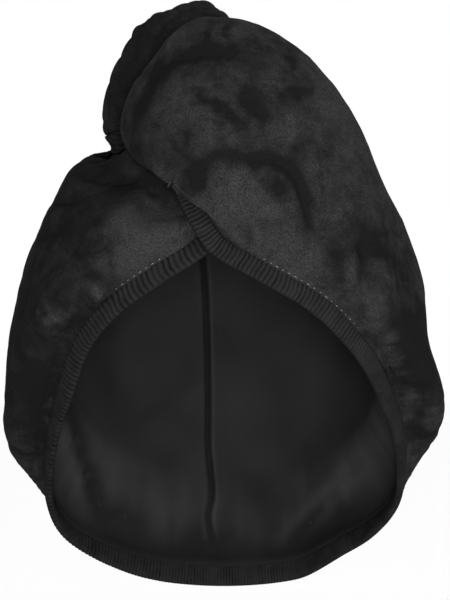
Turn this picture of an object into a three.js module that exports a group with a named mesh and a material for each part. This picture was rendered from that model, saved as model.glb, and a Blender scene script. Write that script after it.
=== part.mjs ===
// Hair turban towel in its worn form. A left and a right towelling panel are sewn to a
// gathered elastic band, the right one crosses over the left one above the brow, and both
// run into a twisted tail that lies back over the crown and is held by a button at the
// nape. A thin smooth lining closes the hollow for the head.
// Millimetres, +Z up. The face opening looks along -Y. The origin is the inside of the
// lining at the crown, where the wearer's head touches it.
import * as THREE from "three";

// Hollow for the head, an ellipsoid whose lower half is drawn out towards the neck
const HEAD_BREADTH = 164;
const HEAD_LENGTH = 200;
const CROWN_RISE = 100; // widest level of the head up to the crown
const NECK_REACH = 247; // the same level down to the pole of the drawn-out lower half

// Edge of the opening
const BROW_DROP = 56; // crown down to the point over the brow
const NAPE_DROP = 232; // crown down to the edge behind the neck

// Cloth
const CLOTH = 2.4; // towelling wall
const LINING = 1.0; // lining wall
const SEAM_GAP = 0.5; // between pieces that are sewn to each other
const LINING_GAP = 1.1; // between the lining and the panels over it
const LAP_GAP = 1.2; // between the two panels where one lies over the other

// Elastic band
const BAND_WIDTH = 12.5;
const BAND_THICKNESS = 4.6;
const GATHER_DEPTH = 0.9; // how far the casing dips between two gathers
const GATHERS = 90; // gathers along the whole band
const BAND_FLARE = 1.2; // how far the band faces forward at the sides, as a slope
const FLARE_LEFT = 0.3; // share of that slope that is left low down, towards the nape

// Outer form
const PUFF = 74; // greatest distance of the cloth from the head
const BILLOW = 20; // length over which the cloth rises from the band to its full puff
const ROLL = 17; // radius of the rolled edge where the right panel crosses over
const LAP_SHELF = 9; // how far the left panel stays flat beside that edge
const LAP_VALLEY = 30; // length over which it then rises

// Twisted tail and its button
const TAIL_DIAMETER = 45;
const TAIL_TURNS = 2.4; // turns of the twist from the throat to the tip
const TAIL_GROOVE = 0.2; // depth of the groove between the strands, as a share of the radius
const TAIL_GAP = 1.8; // between the tail and what it lies on
const BUTTON_DIAMETER = 22;
const BUTTON_THICKNESS = 4;

// Puff of the cloth as shares of PUFF. A row is one eighth of the way round, and its values
// belong to the rises above the widest level of the head, in degrees.
const RISES = [-60, -45, -30, -15, 0, 15, 30, 45, 60, 75, 90];
const HOOD_FORM = {
  front: [0.1, 0.14, 0.18, 0.18, 0.18, 0.17, 0.2, 0.56, 0.82, 0.92, 0.56],
  frontRight: [0.1, 0.16, 0.24, 0.26, 0.24, 0.24, 0.28, 0.44, 0.68, 0.78, 0.56],
  right: [0.08, 0.43, 0.46, 0.43, 0.29, 0.3, 0.3, 0.31, 0.43, 0.5, 0.56],
  backRight: [0.07, 0.18, 0.27, 0.28, 0.28, 0.29, 0.3, 0.33, 0.4, 0.4, 0.56],
  back: [0.07, 0.13, 0.19, 0.22, 0.24, 0.26, 0.28, 0.3, 0.32, 0.38, 0.56],
  backLeft: [0.07, 0.19, 0.3, 0.31, 0.29, 0.29, 0.29, 0.29, 0.3, 0.46, 0.56],
  left: [0.08, 0.51, 0.58, 0.44, 0.38, 0.34, 0.34, 0.33, 0.36, 0.54, 0.56],
  frontLeft: [0.1, 0.18, 0.3, 0.3, 0.29, 0.27, 0.28, 0.4, 0.62, 0.85, 0.56],
};

// Inner edge of the band from the nape to the brow, one table for each side. side is a share
// of half the head's breadth, depth of half its length, and drop runs from the brow to the nape.
const NAPE_EDGE = { side: -0.03, depth: 0.84, drop: 1 };
const RIGHT_EDGE = [
  { side: 0.46, depth: 0.78, drop: 0.975 },
  { side: 0.69, depth: 0.65, drop: 0.912 },
  { side: 0.91, depth: 0.48, drop: 0.84 },
  { side: 1.05, depth: 0.31, drop: 0.75 },
  { side: 1.07, depth: 0.13, drop: 0.65 },
  { side: 1.04, depth: -0.04, drop: 0.555 },
  { side: 0.95, depth: -0.26, drop: 0.44 },
  { side: 0.84, depth: -0.48, drop: 0.34 },
  { side: 0.71, depth: -0.66, drop: 0.262 },
  { side: 0.5, depth: -0.83, drop: 0.17 },
  { side: 0.2, depth: -0.935, drop: 0.088 },
  { side: -0.1, depth: -0.94, drop: 0.005 },
  { side: -0.21, depth: -0.9, drop: -0.075 },
  { side: -0.33, depth: -0.795, drop: -0.19 },
];
const LEFT_EDGE = [
  { side: -0.49, depth: 0.79, drop: 0.975 },
  { side: -0.8, depth: 0.66, drop: 0.912 },
  { side: -1.0, depth: 0.5, drop: 0.84 },
  { side: -1.08, depth: 0.31, drop: 0.75 },
  { side: -1.07, depth: 0.12, drop: 0.64 },
  { side: -1.02, depth: -0.05, drop: 0.53 },
  { side: -0.92, depth: -0.3, drop: 0.405 },
  { side: -0.81, depth: -0.53, drop: 0.275 },
  { side: -0.63, depth: -0.74, drop: 0.178 },
  { side: -0.39, depth: -0.86, drop: 0.098 },
  { side: -0.1, depth: -0.885, drop: 0.01 },
  { side: 0.06, depth: -0.865, drop: -0.06 },
];

// The throat, where the cloth runs into the tail, as a direction from the head's centre
const THROAT_TURN = 254;
const THROAT_RISE = 66;

// The tail's way over the hood: directions, and its width and height as shares of its diameter
const TAIL_WAY = [
  { turn: 254, rise: 66, stand: -0.25, width: 0.7, height: 0.7 },
  { turn: 254, rise: 66.5, stand: 0.08, width: 0.72, height: 0.72 },
  { turn: 268, rise: 74, stand: 0.42, width: 0.92, height: 0.92 },
  { turn: 262, rise: 80.5, stand: 0.7, width: 1.08, height: 1.12 },
  { turn: 215, rise: 78.5, stand: 0.75, width: 1.12, height: 1.14 },
  { turn: 188, rise: 66, stand: 0.48, width: 1.06, height: 0.96 },
  { turn: 180, rise: 48, stand: 0.37, width: 1, height: 0.86 },
  { turn: 180, rise: 27, stand: 0.3, width: 0.92, height: 0.76 },
  { turn: 180, rise: 5, stand: 0.26, width: 0.82, height: 0.64 },
  { turn: 180, rise: -14, stand: 0.2, width: 0.72, height: 0.44 },
  { turn: 179, rise: -28, stand: 0.14, width: 0.62, height: 0.24 },
  { turn: 178, rise: -42, stand: 0.13, width: 0.6, height: 0.18 },
];

const CENTRE = new THREE.Vector3(0, 0, -CROWN_RISE);
const FULL_TURN = 360;
const UP = new THREE.Vector3(0, 0, 1);
const radians = THREE.MathUtils.degToRad;
const mix = THREE.MathUtils.lerp;
const smooth = THREE.MathUtils.smoothstep;

// Direction from the head's centre: turn 0 is the front, 90 the right side and 180 the back.
function direction(turn, rise) {
  const a = radians(turn);
  const e = radians(rise);
  return new THREE.Vector3(Math.sin(a) * Math.cos(e), -Math.cos(a) * Math.cos(e), Math.sin(e));
}

// Value between b and c of a smooth curve through four even steps.
function spline(a, b, c, d, x) {
  return b + 0.5 * x * (c - a + x * (2 * a - 5 * b + 4 * c - d + x * (3 * (b - c) + d - a)));
}

// Distance from the centre to the lining's inner face.
function headRadius(d) {
  const high = d.z > 0 ? CROWN_RISE : NECK_REACH;
  return 1 / Math.hypot(d.x / (HEAD_BREADTH / 2), d.y / (HEAD_LENGTH / 2), d.z / high);
}

// Outward normal of the head's form at a direction.
function headNormal(d) {
  const high = d.z > 0 ? CROWN_RISE : NECK_REACH;
  const slopes = [d.x / (HEAD_BREADTH / 2) ** 2, d.y / (HEAD_LENGTH / 2) ** 2, d.z / high ** 2];
  return new THREE.Vector3(...slopes).normalize();
}

// Share of PUFF at a direction, read from HOOD_FORM.
function puffShare(d) {
  const rise = THREE.MathUtils.radToDeg(Math.asin(THREE.MathUtils.clamp(d.z, -1, 1)));
  const turn = (THREE.MathUtils.radToDeg(Math.atan2(d.x, -d.y)) + FULL_TURN) % FULL_TURN;
  const sectors = Object.values(HOOD_FORM);
  const last = RISES.length - 1;
  const column = (turn / FULL_TURN) * sectors.length;
  const row = THREE.MathUtils.clamp((rise - RISES[0]) / (RISES[1] - RISES[0]), 0, last - 1e-4);
  const c = Math.floor(column);
  const r = Math.floor(row);
  const value = (k, j) => {
    const sector = sectors[(c + j + sectors.length) % sectors.length];
    return sector[THREE.MathUtils.clamp(r + k, 0, last)];
  };
  const around = [-1, 0, 1, 2].map((k) => {
    return spline(value(k, -1), value(k, 0), value(k, 1), value(k, 2), column - c);
  });
  return Math.max(spline(...around, row - r), 0.05);
}

// Lowest place that the towelling can take over the lining.
function snugRadius(d) {
  return headRadius(d) + LINING + LINING_GAP + CLOTH;
}

const throat = direction(THROAT_TURN, THROAT_RISE);
const THROAT_RADIUS = snugRadius(throat) + 0.25 * PUFF;
const RING_ANGLE = Math.asin((0.47 * TAIL_DIAMETER + TAIL_GAP + CLOTH) / THROAT_RADIUS);

// Distance from the centre to the outside of the full hood, level round the throat.
function hoodRadius(d) {
  const full = snugRadius(d) + PUFF * (puffShare(d) - 0.05);
  return mix(THROAT_RADIUS, full, smooth(d.angleTo(throat), RING_ANGLE, 2.4 * RING_ANGLE));
}

// The band's inner edge as one curve, from the hidden left end round the nape to the right end.
function edgePoint({ side, depth, drop }) {
  const down = mix(BROW_DROP, NAPE_DROP, drop);
  return new THREE.Vector3((side * HEAD_BREADTH) / 2, (depth * HEAD_LENGTH) / 2, -down);
}
const edgeRows = [...LEFT_EDGE.slice().reverse(), NAPE_EDGE, ...RIGHT_EDGE];
const edge = new THREE.CatmullRomCurve3(edgeRows.map(edgePoint), false, "centripetal");
edge.arcLengthDivisions = 600;

// Share of the edge's length at the nape, found from the edge itself.
function napeShare() {
  const lengths = edge.getLengths();
  const row = LEFT_EDGE.length / (edgeRows.length - 1);
  return lengths[Math.round(row * edge.arcLengthDivisions)] / lengths.at(-1);
}
const NAPE_AT = napeShare();

// The band's frame at a share of its length: point, outward normal and width direction.
function bandFrame(u) {
  const point = edge.getPointAt(u);
  const along = edge.getTangentAt(u);
  const normal = headNormal(point.clone().sub(CENTRE).normalize());
  const low = smooth(-point.z, 0.45 * NAPE_DROP, 0.76 * NAPE_DROP);
  normal.y -= BAND_FLARE * mix(1, FLARE_LEFT, low) * normal.x ** 2;
  normal.addScaledVector(along, -normal.dot(along)).normalize();
  const across = new THREE.Vector3().crossVectors(along, normal);
  return { point, along, normal, across };
}

// Closed solid between an outer and an inner grid of points. Each grid is a list of rows; a
// closed grid joins its last column to its first, and a list of poles closes the last row.
function wall(outer, inner, { closed = false, poles = null } = {}) {
  const rows = outer.length;
  const columns = outer[0].length;
  const points = [...outer.flat(), ...inner.flat()];
  const o = (i, j) => i * columns + (j % columns);
  const n = (i, j) => rows * columns + i * columns + (j % columns);
  const triangles = [];
  const quad = (a, b, c, d) => triangles.push(a, b, c, a, c, d);
  const across = closed ? columns : columns - 1;
  for (let i = 0; i < rows - 1; i++) {
    for (let j = 0; j < across; j++) {
      quad(o(i, j), o(i, j + 1), o(i + 1, j + 1), o(i + 1, j));
      quad(n(i, j), n(i + 1, j), n(i + 1, j + 1), n(i, j + 1));
    }
    if (!closed) {
      quad(o(i, 0), o(i + 1, 0), n(i + 1, 0), n(i, 0));
      quad(o(i, columns - 1), n(i, columns - 1), n(i + 1, columns - 1), o(i + 1, columns - 1));
    }
  }
  const last = rows - 1;
  if (poles) points.push(...poles);
  for (let j = 0; j < across; j++) {
    quad(o(0, j), n(0, j), n(0, j + 1), o(0, j + 1));
    if (poles) {
      triangles.push(o(last, j), o(last, j + 1), points.length - 2);
      triangles.push(n(last, j + 1), n(last, j), points.length - 1);
    } else {
      quad(o(last, j), o(last, j + 1), n(last, j + 1), n(last, j));
    }
  }
  return facing(points, triangles);
}

// Geometry from points and triangles, turned so that its faces point out.
function facing(points, triangles) {
  let volume = 0;
  for (let i = 0; i < triangles.length; i += 3) {
    const [a, b, c] = triangles.slice(i, i + 3).map((k) => points[k]);
    volume += a.dot(new THREE.Vector3().crossVectors(b, c));
  }
  if (volume < 0) triangles.reverse();
  const geometry = new THREE.BufferGeometry().setFromPoints(points);
  geometry.setIndex(triangles);
  geometry.computeVertexNormals();
  return geometry;
}

// The grid moved inwards by a wall's thickness, along its own normals.
function inset(grid, thickness, closed = false) {
  const rows = grid.length;
  const columns = grid[0].length;
  const at = (i, j) => {
    const row = grid[THREE.MathUtils.clamp(i, 0, rows - 1)];
    return closed ? row[(j + columns) % columns] : row[THREE.MathUtils.clamp(j, 0, columns - 1)];
  };
  const normals = grid.map((row, i) =>
    row.map((p, j) => {
      const down = at(i + 1, j).clone().sub(at(i - 1, j));
      const over = at(i, j + 1).clone().sub(at(i, j - 1));
      return new THREE.Vector3().crossVectors(down, over).normalize();
    }),
  );
  const [i0, j0] = [Math.floor(rows / 2), Math.floor(columns / 2)];
  const out = Math.sign(normals[i0][j0].dot(grid[i0][j0].clone().sub(CENTRE)));
  return grid.map((row, i) => {
    return row.map((p, j) => p.clone().addScaledVector(normals[i][j], -out * thickness));
  });
}

// Point at an angle from an axis direction, at a bearing counted from the nape towards the right.
const nape = edge.getPointAt(NAPE_AT).sub(CENTRE).normalize();
const bearingZero = nape.clone().addScaledVector(throat, -nape.dot(throat)).normalize();
const bearingRight = new THREE.Vector3().crossVectors(bearingZero, throat);
function aroundThroat(bearing, angle) {
  return throat
    .clone()
    .multiplyScalar(Math.cos(angle))
    .addScaledVector(bearingZero, Math.sin(angle) * Math.cos(bearing))
    .addScaledVector(bearingRight, Math.sin(angle) * Math.sin(bearing));
}
function bearingOf(d) {
  return (Math.atan2(d.dot(bearingRight), d.dot(bearingZero)) + 2 * Math.PI) % (2 * Math.PI);
}

// Shares of the band's length between two of them, closer together where the band bends.
const BEND_REACH = 0.16 * HEAD_BREADTH; // length that one radian of bend counts for
function bandShares(from, to, count) {
  const fine = 400;
  const share = (k) => mix(from, to, k / fine);
  const sums = [0];
  for (let k = 1; k <= fine; k++) {
    const step = edge.getPointAt(share(k)).distanceTo(edge.getPointAt(share(k - 1)));
    const bend = edge.getTangentAt(share(k)).angleTo(edge.getTangentAt(share(k - 1)));
    sums.push(sums[k - 1] + step + BEND_REACH * bend);
  }
  return Array.from({ length: count + 1 }, (_, j) => {
    const k = sums.findIndex((sum) => sum >= (j / count) * sums[fine] - 1e-9);
    return share(k);
  });
}

// A panel's place on the band: the start of its cloth beside the band's outer edge. By the
// band's right end the cloth is sewn higher, so that it can lie over the band.
const HIGH_FROM = 0.9;
const HIGH_TO = 0.945;
const OVERHANG = 11; // how far it reaches over the band at that end
function panelStart(u, lift = LINING + LINING_GAP + CLOTH) {
  const { point, normal, across } = bandFrame(u);
  const high = BAND_THICKNESS * smooth(u, HIGH_FROM, HIGH_TO);
  const over = OVERHANG * smooth(u, HIGH_TO, 1);
  const beside = BAND_WIDTH + SEAM_GAP - over;
  return point.addScaledVector(across, beside).addScaledVector(normal, lift + high);
}

// The right panel's cloth fans out round the band's right end, and its free edge is the last
// line of that fan. Angles are in degrees, from straight across the band.
const FAN_FROM = 0.9; // share of the panel's lines that start beside the band
const FAN_STEP = 0.0012; // share of the band's length between the fanned lines
const FAN_FIRST = 35;
const FAN_LAST = 128;
const LAP_SWEEP = 16; // degrees round the throat by which the free edge arrives further left
const EASE = 0.3; // share of a line over which it keeps its direction at either end

// Half of the gap at the centre-back seam, along the band and round the throat.
const SEAM_SHARE = SEAM_GAP / edge.getLength();
const SEAM_BEARING = SEAM_GAP / (THROAT_RADIUS * Math.sin(RING_ANGLE));

const rightEnd = panelStart(1).sub(CENTRE).normalize();
const CROSS_BEARING = bearingOf(rightEnd) + radians(LAP_SWEEP);

// Direction along one line of the cloth, from the band (t = 0) to the throat (t = 1). It
// leaves at an angle from straight across the band and arrives at a bearing.
function clothLine(u, bearing, angle) {
  const start = panelStart(u).sub(CENTRE);
  const reach = start.length();
  const from = start.normalize();
  const to = aroundThroat(bearing, RING_ANGLE);
  const span = from.angleTo(to);
  const { across, along } = bandFrame(u);
  const away = across.multiplyScalar(Math.cos(angle)).addScaledVector(along, Math.sin(angle));
  const leave = from.clone().addScaledVector(away, EASE * span).normalize();
  const arrive = aroundThroat(bearing, RING_ANGLE + EASE * span);
  const at = (t) => {
    const k = 1 - t;
    return from
      .clone()
      .multiplyScalar(k ** 3)
      .addScaledVector(leave, 3 * k * k * t)
      .addScaledVector(arrive, 3 * k * t * t)
      .addScaledVector(to, t ** 3)
      .normalize();
  };
  return { at, reach, length: span * THROAT_RADIUS };
}

// Signed distance from the line where the right panel's edge lies: above 0 on the bare left
// panel and below 0 where it is covered.
const lapLine = clothLine(1, CROSS_BEARING, radians(FAN_LAST));
const LAP_STEPS = 96;
const lapPoints = Array.from({ length: LAP_STEPS + 1 }, (_, i) => lapLine.at(i / LAP_STEPS));
function lapDistance(d) {
  let best = 0;
  lapPoints.forEach((p, i) => {
    if (p.distanceToSquared(d) < lapPoints[best].distanceToSquared(d)) best = i;
  });
  const i = THREE.MathUtils.clamp(best, 1, lapPoints.length - 2);
  const along = lapPoints[i + 1].clone().sub(lapPoints[i - 1]);
  const side = new THREE.Vector3().crossVectors(lapPoints[i], along);
  const off = d.clone().sub(lapPoints[best]);
  return Math.sign(off.dot(side)) * off.length() * THROAT_RADIUS;
}

// The left panel's place where it is covered, close to the lining by the brow.
function lapFloor(d) {
  const open = smooth(d.angleTo(rightEnd) * THROAT_RADIUS, 0.5 * BAND_WIDTH, 5 * BAND_WIDTH);
  return mix(snugRadius(d), hoodRadius(d), 0.45 * open);
}

function leftRadius(d) {
  return mix(lapFloor(d), hoodRadius(d), smooth(lapDistance(d), LAP_SHELF, LAP_SHELF + LAP_VALLEY));
}

// Lowest place of the right panel's edge: over the left panel, and first over the band's end.
const lastFrame = bandFrame(1);
const bandEnd = lastFrame.point.addScaledVector(lastFrame.across, BAND_WIDTH / 2).sub(CENTRE);
const BAND_END_TOP = bandEnd.length() + BAND_THICKNESS + 2 * LAP_GAP + CLOTH;
function rightFloor(d) {
  const beyond = smooth(d.angleTo(bandEnd) * bandEnd.length(), 0.8 * BAND_WIDTH, 3.4 * BAND_WIDTH);
  return mix(BAND_END_TOP, lapFloor(d) + LAP_GAP + CLOTH, beyond);
}

function rightRadius(d, edgeDistance) {
  const low = rightFloor(d);
  const x = 1 - THREE.MathUtils.clamp(edgeDistance / ROLL, 0, 1);
  return mix(low, Math.max(hoodRadius(d), low), Math.sqrt(Math.max(0, 1 - x * x)));
}

// Outer grid of a panel: rows run from the band to the throat, columns from the nape to the brow.
function panelWall({ shares, rows, bearingAt, angleAt, radiusAt }) {
  const lines = shares.map((u, j) => {
    const s = j / (shares.length - 1);
    return { s, ...clothLine(u, bearingAt(s), angleAt(s)) };
  });
  const outer = Array.from({ length: rows + 1 }, (_, i) => {
    const t = (i / rows) ** 1.15;
    return lines.map(({ s, at, reach, length }) => {
      const d = at(t);
      const rise = THREE.MathUtils.clamp((t * length) / BILLOW, 0, 1);
      const r = mix(reach, radiusAt(d, s), 1 - (1 - rise) ** 2);
      return d.multiplyScalar(r).add(CENTRE);
    });
  });
  const inner = inset(outer, CLOTH);
  inner[0] = shares.map((u) => panelStart(u, LINING + LINING_GAP));
  return wall(outer, inner);
}

function makeRightPanel() {
  const beside = 32;
  const fanned = 7;
  const shares = bandShares(NAPE_AT + SEAM_SHARE, 1 - fanned * FAN_STEP, beside);
  for (let k = fanned - 1; k >= 0; k--) shares.push(1 - k * FAN_STEP);
  const fan = (s) => THREE.MathUtils.clamp((s - FAN_FROM) / (1 - FAN_FROM), 0, 1);
  return panelWall({
    shares,
    rows: 19,
    bearingAt: (s) => mix(SEAM_BEARING, CROSS_BEARING, s),
    angleAt: (s) => {
      const lean = FAN_FIRST * smooth(s, 0.75, FAN_FROM);
      return radians(mix(lean, FAN_LAST, fan(s)));
    },
    radiusAt: (d, s) => {
      const far = 2 * ROLL;
      return rightRadius(d, s > 0.6 ? Math.abs(lapDistance(d)) * (s < 1) : far);
    },
  });
}

function makeLeftPanel() {
  const covered = radians(44);
  return panelWall({
    shares: bandShares(NAPE_AT - SEAM_SHARE, 0, 30),
    rows: 19,
    bearingAt: (s) => -mix(SEAM_BEARING, 2 * Math.PI + covered - CROSS_BEARING, s),
    angleAt: (s) => -radians(55) * smooth(s, 0.82, 1),
    radiusAt: leftRadius,
  });
}

// The lining starts beside the band's outer edge and closes over the crown. Its loop leaves
// the band where the two ends cross, and clears them by CROSSING_CLEARANCE.
const CROSSING_CLEARANCE = 5;
const SEAM_RIDGE = 1.6; // how far the centre-back seam stands into the hollow
const LINING_FROM = 0.015; // share of the band's length where the lining's edge leaves it
const LINING_TO = 0.895;

function makeLining() {
  const columns = 42;
  const rows = 12;
  const shares = bandShares(LINING_FROM, LINING_TO, columns - 1);
  const offNape = shares.map((u) => Math.abs(u - NAPE_AT));
  const seam = offNape.indexOf(Math.min(...offNape));
  const outer = Array.from({ length: rows + 1 }, () => []);
  shares.forEach((u, j) => {
    const { point, normal, across } = bandFrame(u);
    const nearEnd = Math.max(1 - smooth(u, 0, 0.06), smooth(u, 0.86, LINING_TO));
    const clear = CROSSING_CLEARANCE * nearEnd;
    const start = point
      .addScaledVector(across, BAND_WIDTH + SEAM_GAP + clear)
      .addScaledVector(normal, LINING)
      .sub(CENTRE);
    const from = start.clone().normalize();
    const reach = nearEnd > 0.2 ? headRadius(from) + LINING : start.length();
    const span = from.angleTo(UP);
    const ridge = j === seam ? SEAM_RIDGE : 0;
    for (let i = 0; i <= rows; i++) {
      const t = (i / (rows + 1)) ** 0.95;
      const d = from
        .clone()
        .multiplyScalar(Math.sin((1 - t) * span))
        .addScaledVector(UP, Math.sin(t * span))
        .normalize();
      const r = mix(reach, headRadius(d) + LINING, smooth(t, 0, 0.1));
      outer[i].push(d.multiplyScalar(r - ridge * Math.sin(Math.PI * t)).add(CENTRE));
    }
  });
  const inner = inset(outer, LINING, true);
  const top = CENTRE.clone().addScaledVector(UP, CROWN_RISE + LINING);
  const poles = [top, top.clone().addScaledVector(UP, -LINING)];
  return wall(outer, inner, { closed: true, poles });
}

// The elastic band: a padded section with a crest and a dip for each gather.
const BAND_SECTION = [
  { width: 0.08, height: 0.02 },
  { width: 0.92, height: 0.02 },
  { width: 1, height: 0.5 },
  { width: 0.78, height: 1 },
  { width: 0.22, height: 1 },
  { width: 0, height: 0.5 },
];

function makeBand() {
  const stations = 2 * GATHERS;
  const points = [];
  for (let i = 0; i <= stations; i++) {
    const { point, normal, across } = bandFrame(i / stations);
    const dip = i % 2 ? GATHER_DEPTH : 0;
    for (const { width, height } of BAND_SECTION) {
      const lift = height * BAND_THICKNESS - (height > 0.2 ? dip : 0);
      const place = point.clone().addScaledVector(across, width * BAND_WIDTH);
      points.push(place.addScaledVector(normal, lift));
    }
  }
  return tube(points, BAND_SECTION.length);
}

// Closed solid through a run of sections with the same number of points.
function tube(points, around) {
  const sections = points.length / around;
  const triangles = [];
  const at = (i, j) => i * around + (j % around);
  for (let i = 0; i < sections - 1; i++) {
    for (let j = 0; j < around; j++) {
      const [a, b, c, d] = [at(i, j), at(i, j + 1), at(i + 1, j + 1), at(i + 1, j)];
      triangles.push(a, b, c, a, c, d);
    }
  }
  const end = at(sections - 1, 0);
  for (let j = 1; j < around - 1; j++) {
    triangles.push(0, j + 1, j, end, end + j, end + j + 1);
  }
  return facing(points, triangles);
}

// The tail: a rope of two strands whose section turns along its way and flattens to a tab.
// Where it rises steeply from the throat, its width lies across this direction.
const ROOT_FACING = direction(340, 20);
const STRANDS = 2;

function makeTail() {
  const around = 16;
  const sections = 54;
  const places = TAIL_WAY.map(({ turn, rise, stand }) => {
    const d = direction(turn, rise);
    return CENTRE.clone().addScaledVector(d, hoodRadius(d) + stand * TAIL_DIAMETER);
  });
  const way = new THREE.CatmullRomCurve3(places, false, "centripetal");
  const points = [];
  for (let i = 0; i <= sections; i++) {
    const x = i / sections;
    const centre = way.getPoint(x);
    const along = way.getTangent(x);
    const up = headNormal(centre.clone().sub(CENTRE).normalize());
    const row = Math.min(x * (TAIL_WAY.length - 1), TAIL_WAY.length - 1.0001);
    const [a, b] = [TAIL_WAY[Math.floor(row)], TAIL_WAY[Math.floor(row) + 1]];
    const lying = smooth(row, 1, 3);
    const side = new THREE.Vector3().crossVectors(along, up);
    if (side.length() < 0.3) side.crossVectors(along, ROOT_FACING);
    side.normalize();
    up.crossVectors(side, along).normalize();
    const width = (mix(a.width, b.width, row % 1) * TAIL_DIAMETER) / 2;
    const height = (mix(a.height, b.height, row % 1) * TAIL_DIAMETER) / 2;
    for (let j = 0; j < around; j++) {
      const angle = (2 * Math.PI * j) / around;
      const groove = 0.5 + 0.5 * Math.cos(STRANDS * (angle - 2 * Math.PI * TAIL_TURNS * x));
      const r = 1 - TAIL_GROOVE * groove * lying * smooth(b.height, 0.2, 0.6);
      const p = centre
        .clone()
        .addScaledVector(side, r * width * Math.cos(angle))
        .addScaledVector(up, r * height * Math.sin(angle))
        .sub(CENTRE);
      const reach = p.length();
      p.normalize();
      const clear = p.angleTo(throat) > RING_ANGLE ? hoodRadius(p) + TAIL_GAP : 0;
      points.push(p.multiplyScalar(Math.max(reach, clear)).add(CENTRE));
    }
  }
  return tube(points, around);
}

// The button sits on the tail's flat tip.
function makeButton() {
  const tip = TAIL_WAY.at(-1);
  const d = direction(tip.turn, tip.rise + 6);
  const normal = headNormal(d);
  const rest = 0.5 * tip.height * TAIL_DIAMETER + 7 * SEAM_GAP + BUTTON_THICKNESS / 2;
  const place = CENTRE.clone()
    .addScaledVector(d, hoodRadius(d) + tip.stand * TAIL_DIAMETER)
    .addScaledVector(normal, rest);
  const geometry = new THREE.CylinderGeometry(BUTTON_DIAMETER / 2, BUTTON_DIAMETER / 2, BUTTON_THICKNESS, 32);
  geometry.applyQuaternion(new THREE.Quaternion().setFromUnitVectors(new THREE.Vector3(0, 1, 0), normal));
  geometry.translate(...place.toArray());
  return geometry;
}

const cloth = new THREE.MeshStandardMaterial({ color: 0x1d1d1e, roughness: 0.9, metalness: 0 });
const smoothCloth = new THREE.MeshStandardMaterial({ color: 0x202021, roughness: 0.6, metalness: 0 });
const plastic = new THREE.MeshStandardMaterial({ color: 0x141414, roughness: 0.35, metalness: 0 });

function piece(name, geometry, material) {
  const mesh = new THREE.Mesh(geometry, material);
  mesh.name = name;
  return mesh;
}

const turban = new THREE.Group();
turban.add(piece("right_panel", makeRightPanel(), cloth));
turban.add(piece("left_panel", makeLeftPanel(), cloth));
turban.add(piece("lining", makeLining(), smoothCloth));
turban.add(piece("elastic_band", makeBand(), cloth));
turban.add(piece("tail", makeTail(), cloth));
turban.add(piece("button", makeButton(), plastic));

export default turban;
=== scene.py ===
import math

import bpy
import numpy as np
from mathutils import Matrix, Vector
from mathutils.bvhtree import BVHTree


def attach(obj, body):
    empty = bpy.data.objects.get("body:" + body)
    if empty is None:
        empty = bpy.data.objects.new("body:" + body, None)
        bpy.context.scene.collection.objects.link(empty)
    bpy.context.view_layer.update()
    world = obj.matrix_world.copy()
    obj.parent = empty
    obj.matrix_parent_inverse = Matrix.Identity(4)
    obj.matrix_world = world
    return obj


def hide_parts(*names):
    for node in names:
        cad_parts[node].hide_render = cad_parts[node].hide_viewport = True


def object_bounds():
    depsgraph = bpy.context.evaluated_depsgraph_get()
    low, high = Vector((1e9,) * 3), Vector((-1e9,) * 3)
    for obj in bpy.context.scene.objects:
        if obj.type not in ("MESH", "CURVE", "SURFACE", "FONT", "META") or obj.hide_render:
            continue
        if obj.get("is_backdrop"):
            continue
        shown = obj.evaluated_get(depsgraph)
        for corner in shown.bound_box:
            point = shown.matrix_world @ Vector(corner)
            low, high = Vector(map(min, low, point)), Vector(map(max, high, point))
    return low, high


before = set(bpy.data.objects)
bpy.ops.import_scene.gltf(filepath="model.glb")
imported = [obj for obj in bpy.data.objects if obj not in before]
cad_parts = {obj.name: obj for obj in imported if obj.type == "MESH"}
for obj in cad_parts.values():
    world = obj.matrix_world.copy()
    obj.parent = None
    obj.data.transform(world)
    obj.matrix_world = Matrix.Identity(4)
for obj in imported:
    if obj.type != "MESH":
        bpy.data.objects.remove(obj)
cad_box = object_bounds()
mm = 0.001

# Lining
# One smooth knit cap in two halves, joined by a seam down the centre back. Its edge is sewn
# into the elastic band, and it hangs a little slack inside the hood.

head_breadth, head_length, crown_rise, neck_reach = 164 * mm, 200 * mm, 100 * mm, 247 * mm
brow_drop, nape_drop = 56 * mm, 232 * mm
lining_wall, seam_gap, slack = 1.0 * mm, 0.5 * mm, 2.4 * mm
band_width, band_flare, flare_left = 12.5 * mm, 1.2, 0.3
lining_from, lining_to, near_crown = 0.015, 0.895, 0.985
end_rise, seam_crowd, crowd_width = 5 * mm, 7, 0.035
head_centre = np.array([0, 0, -crown_rise])
up = np.array([0.0, 0.0, 1.0])


def unit(v):
    return v / np.linalg.norm(v, axis=-1, keepdims=True)


def mix(a, b, x):
    return a + (b - a) * x


def smooth(x, a, b):
    x = np.clip((x - a) / (b - a), 0, 1)
    return x * x * (3 - 2 * x)


def bump(x, width):
    return np.exp(-((x / width) ** 2))


def head_height(d):
    """Half height of the head's form above or below its centre, for unit directions d."""
    return np.where(d[..., 2] > 0, crown_rise, neck_reach)


def head_radius(d):
    """Reach of the head's form from its centre in directions d."""
    x, y, z = d[..., 0] / (head_breadth / 2), d[..., 1] / (head_length / 2), d[..., 2] / head_height(d)
    return 1 / np.sqrt(x * x + y * y + z * z)


def head_normal(d):
    x, y = d[..., 0] / (head_breadth / 2) ** 2, d[..., 1] / (head_length / 2) ** 2
    return unit(np.stack([x, y, d[..., 2] / head_height(d) ** 2], axis=-1))


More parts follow.
